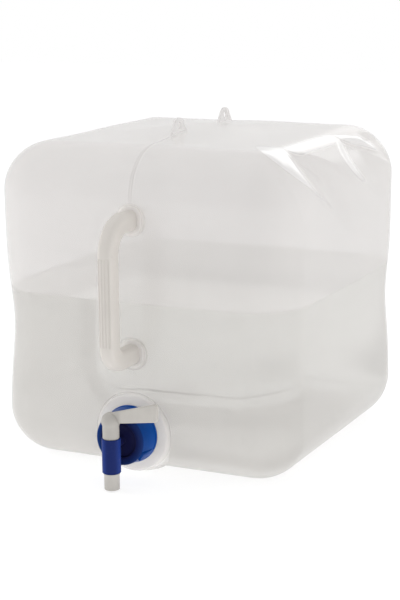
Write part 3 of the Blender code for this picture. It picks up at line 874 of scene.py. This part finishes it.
def rounded_rectangle(half_width, half_height, corner, steps=10):
    """The outline of a rectangle with round corners, about the origin."""
    points = []
    for side_x, side_y, start in ((1, 1, 0), (-1, 1, 90), (-1, -1, 180), (1, -1, 270)):
        centre = (side_x * (half_width - corner), side_y * (half_height - corner))
        points += arc(centre, corner, start, start + 90, steps)
    return points


def foot_plates(name, grown, back, front, rounding):
    """Two flat lozenges, one on each foot of the handle, larger than its section by grown all round."""
    outline = rounded_rectangle(HANDLE_THICKNESS / 2 + grown, HANDLE_BAR / 2 + grown, HANDLE_ROUNDING + grown)
    plates = []
    for place, height in zip(("low", "high"), HANDLE_FEET):
        lozenge = plate(f"{place}_{name}", [outline], front - back, rounding)
        middle = Matrix.Translation((0, FRONT - (front + back) / 2, height))
        plates.append(placed(lozenge, middle @ OUTWARD))
    return plates


class WATER_CONTAINER_OT_vessel(bpy.types.Operator):
    """Builds the milky vessel with its collar, neck, handle sockets and hanging tabs"""

    bl_idname = "water_container.vessel"
    bl_label = "Build Vessel"

    def execute(self, context):
        settings = context.scene.container_vessel
        tree = vessel_tree()
        skins = [milky_plastic(settings, inside) for inside in (False, True)]
        sides = context.scene.container_fittings.round_steps
        vessel = vessel_block("vessel_shell", settings, tree, 0.0, settings.cuts, skins[OUTSIDE])
        painted(raise_bead(vessel, settings), *skins)
        cavity = vessel_block("cavity", settings, tree, settings.wall, settings.cuts, skins[INSIDE])
        collar = at_neck(turned("collar", collar_profile(0), False, sides))
        collar_inside = at_neck(turned("collar_inside", collar_profile(settings.wall), False, sides))
        neck = at_neck(rod("neck", NECK_RADIUS, 0, NECK_LENGTH, sides))
        bore = at_neck(rod("neck_bore", NECK_RADIUS - NECK_WALL, -OVERCUT, NECK_LENGTH + OVERCUT, sides))
        back = HANDLE_END - FIT
        grown = FOOT_HEAD_LIP + FIT
        sockets = foot_plates("socket", grown + SOCKET_RIM, back - SOCKET_WALL, SOCKET_STAND, SOCKET_WALL)
        recesses = foot_plates("recess", grown, back, HANDLE_END + FOOT_HEAD_THICKNESS + FIT, 0)
        snug = 0.00006
        thickness, rounding = HANDLE_THICKNESS + 2 * snug, HANDLE_ROUNDING + snug
        pocket = plate("pocket", [handle_outline(snug, 12)], thickness, rounding)
        tabs = [tab(f"tab_{i + 1}", y) for i, y in enumerate(TAB_PLACES)]
        steps = plus(collar, neck) + minus(cavity, collar_inside, bore, side=INSIDE)
        steps += plus(*sockets) + minus(*recesses, side=INSIDE) + minus(stand_upright(pocket)) + plus(*tabs)
        finished(joined(vessel, steps), "container", "milky_plastic", "vessel")
        thread = moulded_thread("neck_thread", 0.0055, NECK_RADIUS, 2.0, 0.0013, skins[OUTSIDE])
        finished(thread, "container", "milky_plastic")
        return {"FINISHED"}


class WATER_CONTAINER_OT_water(bpy.types.Operator):
    """Fills the vessel to its level with water"""

    bl_idname = "water_container.water"
    bl_label = "Fill With Water"

    def execute(self, context):
        settings = context.scene.container_vessel
        water = context.scene.container_water
        tree = bpy.data.node_groups["vessel_by_rule"]
        inset, cuts = settings.wall / 2, settings.cuts // 2
        fill = vessel_block("water_fill", settings, tree, inset, cuts, water_material(water))
        with edited(fill.data) as bm:
            cut = sliced(bm, (0, 0, water.level), (0, 0, 1), clear_outer=True)
            rim = [item for item in cut if isinstance(item, bmesh.types.BMEdge)]
            bmesh.ops.contextual_create(bm, geom=rim)
        finished(fill, "container", "milky_plastic")
        return {"FINISHED"}


class WATER_CONTAINER_OT_handle(bpy.types.Operator):
    """Builds the carrying handle with its foot heads and grip grooves"""

    bl_idname = "water_container.handle"
    bl_label = "Build Handle"

    def execute(self, context):
        colours = context.scene.container_fittings
        white = moulded_plastic("white_handle", colours.handle_colour, 0.42, 0.35, 0.02, 30.0)
        handle = plate("carry_handle_fine", [handle_outline(0, 24)], HANDLE_THICKNESS, HANDLE_ROUNDING, 6)
        painted(stand_upright(handle), white)
        front = HANDLE_END + FOOT_HEAD_THICKNESS
        heads = foot_plates("foot_head", FOOT_HEAD_LIP, HANDLE_END, front, FOOT_HEAD_ROUNDING)
        low = HANDLE_FEET[0] + HANDLE_BAR / 2 + HANDLE_LOW_BEND
        high = HANDLE_FEET[1] - HANDLE_BAR / 2 - HANDLE_TOP_BEND
        spacing, radius, depth = 0.0028, 0.0008, 0.0004
        sizes = {"count": 4, "spacing": spacing, "radius": radius, "length": high - low}
        flutes = grown_by_tree("flutes", flute_tree(), **sizes, material=white)
        flat = HANDLE_THICKNESS / 2 - HANDLE_ROUNDING
        for vertex in flutes.data.vertices:
            middle = round(vertex.co.x / spacing * 2) / 2 * spacing
            past_flat = max(abs(middle) - flat, 0)
            dip = HANDLE_ROUNDING - math.sqrt(HANDLE_ROUNDING**2 - past_flat**2)
            vertex.co += Vector((0, FRONT - HANDLE_REACH + dip - radius + depth, (low + high) / 2))
        finished(joined(handle, plus(*heads) + minus(flutes)), "container", "white_plastic", "carry_handle")
        return {"FINISHED"}


def lit_skirt(board, place):
    """A mask of painted light, as if the cap let light through: most in its thin skirt, towards its rear, and
    some in its face, more on its left.
    """
    out = (place - tuple(NECK_AXIS)) * (1.0, -1.0, 1.0)
    radius = (out * (1.0, 0.0, 1.0)).length()
    front_radius = CAP_RADIUS - CAP_TAPER
    skirt = radius.rise(front_radius - 0.0016, front_radius - 0.0002)
    skirt = skirt * out.axis("Y").rise(CAP_FRONT - 0.0003, CAP_FRONT - 0.0022)
    lines = board.noise(out * (60.0, 1400.0, 60.0), 1.0, 2.0)
    deep = (out.axis("Y") + (lines - 0.5) * 0.010).rise(CAP_FRONT - 0.002, CAP_BACK + 0.004)
    left = out.axis("X").rise(-0.006, -0.018)
    face = radius.rise(HUB_RADIUS - 0.0010, front_radius) * (0.28 + 0.30 * left)
    return face.most(skirt * (0.70 + deep * 0.30))


class WATER_CONTAINER_OT_cap(bpy.types.Operator):
    """Builds the union cap with its rear ring, turning lug and inner thread"""

    bl_idname = "water_container.cap"
    bl_label = "Build Cap"

    def execute(self, context):
        colours = context.scene.container_fittings
        # Painted light on the cap: its lit blue over its shaded blue
        lit = (lit_skirt, rgb(colours.blue_lit))
        blue = moulded_plastic("blue_cap", colours.blue_in_shade, 0.28, 0.06, second=lit)
        mouth = HUB_RADIUS + FIT
        shoulder = CAP_FRONT - CAP_FACE
        ring_front = CAP_BACK + RING_LENGTH
        front_radius = CAP_RADIUS - CAP_TAPER
        inner = CAP_RADIUS - CAP_WALL
        ease = 0.0005
        profile = arc((mouth + ease, CAP_FRONT - ease), ease, 180, 90, 3)
        profile += arc((front_radius - CAP_EDGE, CAP_FRONT - CAP_EDGE), CAP_EDGE, 90, 4, 10)
        profile += [(CAP_RADIUS, ring_front + RING_STEP)]
        profile += arc((CAP_RADIUS, ring_front - RING_STEP), RING_STEP, 90, 0, 3)
        profile += arc((CAP_RADIUS, CAP_BACK + RING_STEP), RING_STEP, 0, -90, 3)
        profile += [(inner, CAP_BACK), (inner - CAP_TAPER, shoulder), (mouth, shoulder)]
        cap = painted(at_neck(turned("screw_cap_fine", profile, True, colours.round_steps)), blue)
        cap = joined(cap, plus(turning_lug(front_radius, ring_front)))
        finished(cap, "cap", "blue_plastic", "screw_cap", angle=28)
        thread = moulded_thread("cap_thread", CAP_BACK + 0.003, inner - 0.0007, 1.6, 0.0011, blue)
        finished(thread, "cap", "blue_plastic")
        return {"FINISHED"}


def turning_lug(front_radius, ring_front):
    """The cap's one lug: a wedge that stands proud at the front and runs out at the rear ring."""
    back, front = ring_front - RING_STEP, CAP_FRONT - CAP_EDGE
    inside = front_radius - CAP_WALL
    mesh = bpy.data.meshes.new("turning_lug")
    with edited(mesh) as bm:
        bmesh.ops.create_cube(bm, size=1)
        for vertex in bm.verts:
            is_front, is_outer = vertex.co.z > 0, vertex.co.x > 0
            outer = front_radius + LUG_HEIGHT if is_front else CAP_RADIUS + RING_STEP / 2
            vertex.co.x = outer if is_outer else inside
            vertex.co.z = front if is_front else back
            vertex.co.y *= LUG_WIDTH
        eased = {"offset": 0.0004, "offset_type": "OFFSET", "segments": 3, "profile": 0.5, "affect": "EDGES"}
        bmesh.ops.bevel(bm, geom=bm.edges[:], **eased)
    return at_neck(placed(new_object("turning_lug", mesh), Matrix.Rotation(LUG_TURN, 4, "Z")))


def lit_sleeve(board, place):
    """A mask of painted light on the thin wall of the tap's sleeve, as if it let light through, most along
    its two sides.
    """
    off_axis = (place - tuple(SLEEVE_AXIS)) * (1.0, 1.0, 0.0)
    sleeve = off_axis.length().rise(SLEEVE_RADIUS + 0.0020, SLEEVE_RADIUS + 0.0004)
    beside = abs(off_axis.dot((0.90, 0.43, 0.0))) / SLEEVE_RADIUS
    return sleeve * (0.42 + 0.58 * beside.rise(0.35, 0.95))


class WATER_CONTAINER_OT_tap(bpy.types.Operator):
    """Builds the tap's body with its sleeve and finishes the gasket behind its flange"""

    bl_idname = "water_container.tap"
    bl_label = "Build Tap Body"

    def execute(self, context):
        colours = context.scene.container_fittings
        steps = colours.round_steps
        # Painted light on the sleeve: its lit blue over its shaded blue
        lit = (lit_sleeve, rgb(colours.blue))
        blue = moulded_plastic("blue_tap", colours.blue_in_shade, 0.32, 0.07, 0.05, 70.0, lit)
        flange_front = CAP_FRONT - CAP_FACE - FIT
        flange_back = flange_front - FLANGE_THICKNESS
        hub_front = CAP_FRONT - HUB_SINK
        spigot = NECK_RADIUS - NECK_WALL - FIT
        spigot_back = flange_back - SPIGOT_LENGTH
        sleeve_out = FRONT - SLEEVE_AXIS.y
        bore = SLEEVE_RADIUS - SLEEVE_WALL
        end = sleeve_out - bore / 2
        profile = [(0, end), (SHANK_RADIUS, end)]
        fillet, ease, rim = 0.0008, 0.0004, 0.0003
        profile += arc((SHANK_RADIUS + fillet, hub_front + fillet), fillet, 180, 270, 4)
        profile += arc((HUB_RADIUS - ease, hub_front - ease), ease, 90, 0, 3)
        profile += [(HUB_RADIUS, flange_front), (NECK_RADIUS, flange_front), (NECK_RADIUS, flange_back)]
        profile += [(spigot, flange_back), (spigot, spigot_back), (spigot - SLEEVE_WALL, spigot_back)]
        profile += [(SHANK_RADIUS, flange_back), (0, flange_back)]
        body = painted(at_neck(turned("tap_body_fine", profile, False, steps)), blue)
        outside = [(0, SLEEVE_TOP)]
        outside += arc((SLEEVE_RADIUS - rim, SLEEVE_TOP - rim), rim, 90, 0, 3)
        outside += [(SLEEVE_RADIUS, SLEEVE_END + SLEEVE_CHAMFER)]
        outside += [(SLEEVE_RADIUS - SLEEVE_CHAMFER, SLEEVE_END), (0, SLEEVE_END)]
        sleeve = at_sleeve(turned("sleeve", outside, False, steps))
        sleeve_bore = at_sleeve(rod("sleeve_bore", bore, SLEEVE_END - OVERCUT, SLEEVE_TOP + OVERCUT, steps))
        way_back, way_front = flange_back - OVERCUT, sleeve_out - bore / 4
        waterway = at_neck(rod("waterway", SHANK_BORE_RADIUS, way_back, way_front, steps // 2))
        body = joined(body, plus(sleeve) + minus(sleeve_bore, waterway))
        finished(body, "tap", "blue_plastic", "tap_body", angle=28)
        rubber = moulded_plastic("seal_rubber", colours.seal_colour, 0.72, 0.25, 0.04, 120.0)
        painted(frame["nodes"]["flange_gasket"], rubber)
        return {"FINISHED"}


def painted_head_shade(board, place):
    """A mask of painted shade on the plug's head and neck, which are drawn darker than the thin lever."""
    off_axis = ((place - tuple(SLEEVE_AXIS)) * (1.0, 1.0, 0.0)).length()
    head = off_axis.rise(HEAD_BALL_RADIUS + 0.0040, HEAD_BALL_RADIUS)
    return head * place.axis("Z").rise(SLEEVE_TOP - 0.004, SLEEVE_TOP)


class WATER_CONTAINER_OT_plug(bpy.types.Operator):
    """Builds the turning plug: ball head, lever, barrel and nozzle"""

    bl_idname = "water_container.plug"
    bl_label = "Build Plug"

    def execute(self, context):
        colours = context.scene.container_fittings
        steps = colours.round_steps
        # Painted shade: the head and neck at 0.83 of the plug's colour
        darker = (painted_head_shade, rgb(colours.plug_colour, 0.83))
        white = moulded_plastic("white_plug", colours.plug_colour, 0.38, 0.38, 0.03, 90.0, darker)
        seat = SLEEVE_TOP + FIT
        ball = seat + HEAD_BALL_RISE
        bead = SLEEVE_END - FIT
        end = PLUG_LOW.z
        top = NECK_AXIS.z + SHANK_BORE_RADIUS + PLUG_BORE_HEADROOM
        waist, foot, ease = 0.0012, 0.0003, 0.0004
        profile = arc((0, ball), HEAD_BALL_RADIUS, 90, -28, 26)
        profile[0] = (0, ball + HEAD_BALL_RADIUS)
        profile += [(HEAD_NECK_RADIUS, ball - HEAD_BALL_RADIUS + waist)]
        profile += [(HEAD_NECK_RADIUS, seat + foot), (HEAD_NECK_RADIUS - foot, seat), (PLUG_RADIUS, seat)]
        snap = PLUG_RADIUS + PLUG_SNAP_HEIGHT
        profile += [(PLUG_RADIUS, bead), (snap, bead), (snap, bead - PLUG_SNAP_HEIGHT)]
        profile += [(PLUG_RADIUS, bead - 3 * PLUG_SNAP_HEIGHT)]
        profile += arc((PLUG_RADIUS - ease, end + ease), ease, 0, -90, 3)
        profile += [(PLUG_BORE_RADIUS, end), (PLUG_BORE_RADIUS, top), (0, top)]
        plug = painted(at_sleeve(turned("tap_plug_fine", profile, False, steps)), white)
        lever = plate("lever", [lever_outline(ball)], LEVER_THICKNESS, LEVER_ROUNDING, 5)
        at_sleeve(placed(lever, OUTWARD))
        port = rod("port", SHANK_BORE_RADIUS, 0, PLUG_RADIUS + OVERCUT, steps // 2)
        placed(port, Matrix.Translation((0, 0, NECK_AXIS.z)) @ Matrix.Rotation(-math.pi / 2, 4, "Y"))
        plug = joined(plug, plus(lever) + minus(at_sleeve(port)))
        finished(plug, "plug", "white_plastic", "tap_plug")
        return {"FINISHED"}


def lever_outline(ball):
    """The lever seen from the front, from inside the head to its taller, raised tip."""
    root_low, tip_low = ball - LEVER_ROOT_DROP, ball + LEVER_TIP_RISE
    root_top, tip_top = root_low + LEVER_ROOT_HEIGHT, tip_low + LEVER_TIP_HEIGHT
    outline = [(0, root_low - LEVER_FILLET), (HEAD_NECK_RADIUS, root_low - LEVER_FILLET)]
    outline += arc((HEAD_NECK_RADIUS + LEVER_FILLET, root_low - LEVER_FILLET), LEVER_FILLET, 150, 90, 5)
    outline += arc((LEVER_LENGTH - LEVER_CORNER, tip_low + LEVER_CORNER), LEVER_CORNER, -90, 0, 8)
    outline += arc((LEVER_LENGTH - LEVER_CORNER, tip_top - LEVER_CORNER), LEVER_CORNER, 0, 90, 8)
    outline += [(0, root_top)]
    return outline


def sight(board):
    """Masks for what looks at the stage: the camera, the camera past a wall, bent rays, mirrors, others."""
    camera, crossing, glossy, depth = (board.node("ShaderNodeLightPath", out=name) for name in LIGHT_PATHS)
    passed = depth.least(1.0)
    direct, through = camera * (1 - passed), camera * passed
    bent, mirror = crossing * glossy, glossy * (1 - crossing)
    return direct, through, bent, mirror, 1 - direct - through - bent - mirror


def floor_material(settings):
    """A floor that the camera sees white but for the object's shadow, darker through the object by a painted
    shadow, and with a painted glow.
    """
    material, board, place = shader_board("pale_floor")
    pale = board.blend(grey(0.62), grey(0.60), board.noise(place, 3.0, 2.0))
    plain = board.shader("Diffuse", Color=pale)
    faint = board.shader("Diffuse", Color=grey(0.30))
    direct, through, bent, mirror, other = sight(board)
    y = place.axis("Y")
    # A painted shadow behind the vessel, seen only by rays bent through the water
    behind = y.rise(0.10, 0.14) * y.rise(0.30, 0.22) * place.axis("X").rise(-0.21, -0.11)
    far_behind = y.rise(0.58, 0.72)
    bright = 0.49 - settings.shade_through_water * (behind + far_behind)
    # A painted glow in front of and under the vessel, unseen by the camera, that lights its low front and
    # collar
    in_front = y.rise(-0.12, -0.15)
    underneath = y.rise(0.12, 0.02) * y.rise(-0.15, -0.12)
    off_nozzle = ((place - (0.0, SLEEVE_AXIS.y, 0.0)) * (1.0, 1.0, 0.0)).length().rise(0.018, 0.044)
    before = (0.90 * in_front + 0.50 * underneath) * off_nozzle * y.rise(-0.30, -0.20)
    level = direct * 0.78 + through * 0.48 + bent * (0.20 + bright) + mirror * 0.30 + other * (0.40 + before)
    glow = board.node("ShaderNodeEmission", {"Color": grey(1.0), "Strength": level})
    lit = board.either(plain, faint, direct + through + bent)
    board.show(board.node("ShaderNodeAddShader", {0: lit, 1: glow}))
    return material


def studio_world(settings):
    """White all round for what the camera sees and what mirrors it, and an even light for the rest."""
    world = bpy.data.worlds.new("studio")
    world.use_nodes = True
    board = Board(world.node_tree)
    direct, through, bent, mirror, other = sight(board)
    direction = board.node("ShaderNodeTexCoord", out="Generated")
    behind_camera = direction.axis("Y").rise(-0.10, -0.75)
    off_panel = direction.unit().dot(tuple(Vector((-0.06, 0.90, 0.43)).normalized()))
    panel = off_panel.rise(math.cos(math.radians(23)), math.cos(math.radians(14)))
    mirrored = settings.mirrored * (1 - behind_camera * 0.30) + panel * settings.softbox
    strength = direct + (through + bent) * settings.seen_through + mirror * mirrored + other * settings.light
    sky = board.node("ShaderNodeBackground", {"Color": grey(1.0), "Strength": strength})
    board.show(sky, "World")
    bpy.context.scene.world = world


def softbox(name, place, aim, size, power):
    """An area light that lights the object and isn't itself seen or mirrored."""
    light = bpy.data.lights.new(name, "AREA")
    light.shape = "RECTANGLE"
    light.size, light.size_y = size
    light.energy = power
    lamp = new_object(name, light)
    lamp.location = place
    lamp.rotation_euler = (Vector(aim) - Vector(place)).to_track_quat("-Z", "Y").to_euler()
    lamp.visible_camera = False
    lamp.visible_glossy = False
    lamp.visible_transmission = False


def camera_matrix(settings):
    """The camera's place and turn from its angles and its distance about the vessel's middle."""
    azimuth, elevation, roll = settings.azimuth, settings.elevation, settings.roll
    level = math.cos(elevation)
    back = Vector((math.sin(azimuth) * level, -math.cos(azimuth) * level, math.sin(elevation)))
    right = (-back).cross(Vector((0, 0, 1))).normalized()
    up = right.cross(-back)
    across = math.cos(roll) * right + math.sin(roll) * up
    upright = math.cos(roll) * up - math.sin(roll) * right
    matrix = Matrix((across, upright, back)).transposed().to_4x4()
    matrix.translation = Vector((0, 0, TOP / 2)) + back * settings.distance
    return matrix


class WATER_CONTAINER_OT_stage(bpy.types.Operator):
    """Sets up the camera, the pale floor and the studio light"""

    bl_idname = "water_container.stage"
    bl_label = "Set Up Stage"

    def execute(self, context):
        settings = context.scene.container_stage
        data = bpy.data.cameras.new("camera")
        data.sensor_width = 36.0
        data.lens = settings.lens
        data.shift_x, data.shift_y = settings.shift
        camera = new_object("camera", data)
        camera.matrix_world = camera_matrix(settings)
        context.scene.camera = camera
        mesh = bpy.data.meshes.new("floor")
        with edited(mesh) as bm:
            bmesh.ops.create_grid(bm, x_segments=8, y_segments=8, size=settings.floor_size / 2)
            bmesh.ops.translate(bm, vec=(0, 0, -0.0004), verts=bm.verts)
        floor = painted(new_object("floor", mesh), floor_material(settings))
        studio_world(settings)
        softbox("top_back_light", (0.25, 0.95, 1.25), (0.05, 0, 0.2), (1.0, 0.5), 3.0)
        softbox("right_light", (1.3, 0.1, 0.7), (0, 0, 0.14), (0.5, 1.0), 2.0)
        softbox("left_light", (-1.3, -0.5, 0.8), (0, 0, 0.14), (0.6, 0.9), 5.0)
        context.scene.view_settings.view_transform = "Standard"
        return {"FINISHED"}


class WATER_CONTAINER_PT_panel(bpy.types.Panel):
    """Lists what the container is built from"""

    bl_idname = "WATER_CONTAINER_PT_panel"
    bl_label = "Water Container"
    bl_space_type = "VIEW_3D"
    bl_region_type = "UI"
    bl_category = "Water Container"

    def draw(self, context):
        for operator in OPERATORS:
            self.layout.operator(operator.bl_idname)
        for name, group in GROUPS.items():
            box = self.layout.box()
            for key in group.__annotations__:
                box.prop(getattr(context.scene, name), key)


OPERATORS = (
    WATER_CONTAINER_OT_vessel,
    WATER_CONTAINER_OT_water,
    WATER_CONTAINER_OT_handle,
    WATER_CONTAINER_OT_cap,
    WATER_CONTAINER_OT_tap,
    WATER_CONTAINER_OT_plug,
    WATER_CONTAINER_OT_stage,
)
GROUPS = {
    "container_vessel": VesselSettings,
    "container_water": WaterSettings,
    "container_fittings": FittingSettings,
    "container_stage": StageSettings,
}
CLASSES = (*GROUPS.values(), *OPERATORS, WATER_CONTAINER_PT_panel)


def register():
    for cls in CLASSES:
        bpy.utils.register_class(cls)
    for name, group in GROUPS.items():
        setattr(bpy.types.Scene, name, PointerProperty(type=group))


def unregister():
    for name in GROUPS:
        delattr(bpy.types.Scene, name)
    for cls in reversed(CLASSES):
        bpy.utils.unregister_class(cls)


def main():
    register()
    bpy.ops.water_container.vessel()
    bpy.ops.water_container.water()
    bpy.ops.water_container.handle()
    bpy.ops.water_container.cap()
    bpy.ops.water_container.tap()
    bpy.ops.water_container.plug()
    bpy.ops.water_container.stage()


if __name__ == "__main__":
    main()
